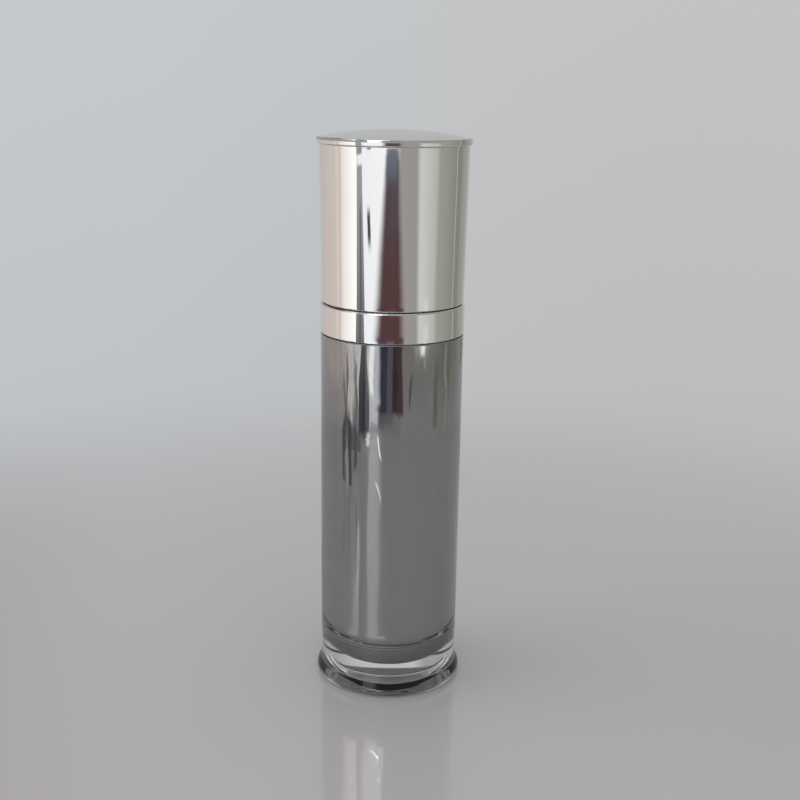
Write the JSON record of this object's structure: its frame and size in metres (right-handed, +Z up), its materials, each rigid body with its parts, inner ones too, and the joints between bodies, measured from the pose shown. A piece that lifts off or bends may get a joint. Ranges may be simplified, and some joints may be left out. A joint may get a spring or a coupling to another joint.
{
  "type": "toner bottle",
  "caption": "Slim double-wall dispensing bottle: clear flared foot around a silver-grey inner bottle, mirror-bright collar and tall domed cap over a screw-on pump.",
  "frame": {"origin": "centre of the contact ring under the foot, on the surface that the bottle stands on", "axes": "+Z up along the bottle's axis, -Y the way the pump's spout looks, +X to the right seen from the front"},
  "size_m": [0.0478, 0.0478, 0.1777],
  "materials": {
    "clear_acrylic": "polished",
    "silver_grey_lacquer": "gloss",
    "metallised_plastic": "polished",
    "white_polypropylene": "satin",
    "natural_polypropylene": "satin",
    "polyethylene": "satin",
    "white_foam": "matte",
    "stainless_steel": "polished"
  },
  "bodies": {
    "bottle": {"outer_bottle": "clear_acrylic", "inner_bottle": "silver_grey_lacquer", "collar_sleeve": "metallised_plastic", "collar_liner": "white_polypropylene"},
    "cap": {"cap_shell": "metallised_plastic", "cap_top_disc": "metallised_plastic", "cap_liner": "white_polypropylene"},
    "pump": {"pump_housing": "natural_polypropylene", "housing_cap": "white_polypropylene", "neck_gasket": "white_foam", "dip_tube": "polyethylene", "return_spring": "stainless_steel"},
    "screw_ring": {"closure": "white_polypropylene", "closure_sleeve": "metallised_plastic"},
    "inlet_valve": {"check_ball": "stainless_steel"},
    "plunger": {"piston": "polyethylene"},
    "head": {"stem": "white_polypropylene", "valve_rod": "white_polypropylene", "actuator_core": "white_polypropylene", "actuator_shell": "metallised_plastic", "spout": "white_polypropylene"}
  },
  "joints": [
    {"name": "cap_lift", "type": "slide", "parent": "bottle", "child": "cap", "axis": [0, 0, 1], "range_m": [0, 0.05]},
    {"name": "pump_lift", "type": "slide", "parent": "bottle", "child": "pump", "axis": [0, 0, 1], "range_m": [0, 0.00476]},
    {"name": "closure_turn", "type": "hinge", "parent": "pump", "child": "screw_ring", "pos_m": [0, 0, 0.13], "axis": [0, 0, 1], "range_deg": [0, 540]},
    {"name": "ball_lift", "type": "slide", "parent": "pump", "child": "inlet_valve", "axis": [0, 0, 1], "range_m": [0, 0.0012]},
    {"name": "pump_press", "type": "slide", "parent": "pump", "child": "plunger", "axis": [0, 0, -1], "range_m": [0, 0.008], "stiffness_N_per_m": 500, "springref_m": -0.02, "deforming": ["return_spring"]},
    {"name": "head_turn", "type": "hinge", "parent": "plunger", "child": "head", "pos_m": [0, 0, 0.15], "axis": [0, 0, 1], "continuous": true}
  ],
  "couplings": [
    {"joint": "closure_turn", "follows": "pump_lift", "rad_per_m": 1978.9}
  ]
}
